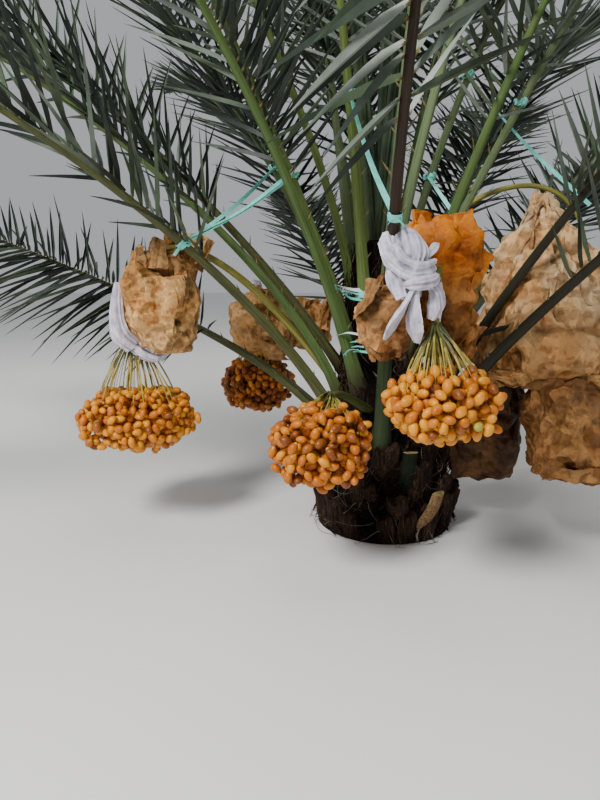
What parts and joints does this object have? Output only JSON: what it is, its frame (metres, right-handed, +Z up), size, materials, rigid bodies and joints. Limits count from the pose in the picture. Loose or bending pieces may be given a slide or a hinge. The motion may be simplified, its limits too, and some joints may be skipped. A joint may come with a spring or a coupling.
{
  "type": "date palm tree",
  "caption": "Short-trunked date palm with arching feather fronds, hanging fruit bunches on long stalks, crumpled paper bags and netting round some bunches.",
  "frame": {"origin": "middle of the flat cut under the trunk, at ground level", "axes": "+Z up; the picture looks along +Y with +X to its right"},
  "size_m": [5.245, 5.0217, 3.7882],
  "materials": {
    "trunk_fibre": "matt dark brown fibre and cut leaf bases",
    "frond_green": "satin grey-green leaflets on smooth mid-green ribs",
    "stalk_green": "smooth yellow-green",
    "fruit": "satin orange-yellow skin with a faint bloom",
    "kraft_paper": "dry crumpled brown paper",
    "netting": "soft white twisted netting",
    "ribbon": "thin turquoise raffia tape"
  },
  "bodies": {
    "root": {"bag_back": "kraft_paper", "bag_far": "kraft_paper", "bag_far_right": "kraft_paper", "bag_front_brown": "kraft_paper", "bag_front_orange": "kraft_paper", "bag_left": "kraft_paper", "bag_low_right": "kraft_paper", "bag_right": "kraft_paper", "bag_under_right": "kraft_paper", "bunch_back": "fruit", "bunch_far": "fruit", "bunch_front": "fruit", "bunch_front_left": "fruit", "bunch_left": "fruit", "frond_01": "frond_green", "frond_02": "frond_green", "frond_03": "frond_green", "frond_04": "frond_green", "frond_05": "frond_green", "frond_06": "frond_green", "frond_07": "frond_green", "frond_08": "frond_green", "frond_09": "frond_green", "frond_10": "frond_green", "frond_11": "frond_green", "frond_12": "frond_green", "frond_13": "frond_green", "frond_14": "frond_green", "frond_15": "frond_green", "frond_16": "frond_green", "frond_17": "frond_green", "frond_18": "frond_green", "frond_19": "frond_green", "frond_20": "frond_green", "frond_21": "frond_green", "frond_22": "frond_green", "frond_23": "frond_green", "frond_24": "frond_green", "frond_25": "frond_green", "frond_26": "frond_green", "frond_27": "frond_green", "frond_28": "frond_green", "net_front": "netting", "net_left": "netting", "spear_leaves": "frond_green", "stalk_back": "stalk_green", "stalk_far": "stalk_green", "stalk_far_right": "stalk_green", "stalk_front": "stalk_green", "stalk_front_left": "stalk_green", "stalk_left": "stalk_green", "stalk_low_right": "stalk_green", "stalk_right": "stalk_green", "stalk_under_right": "stalk_green", "trunk": "trunk_fibre"}
  },
  "joints": []
}
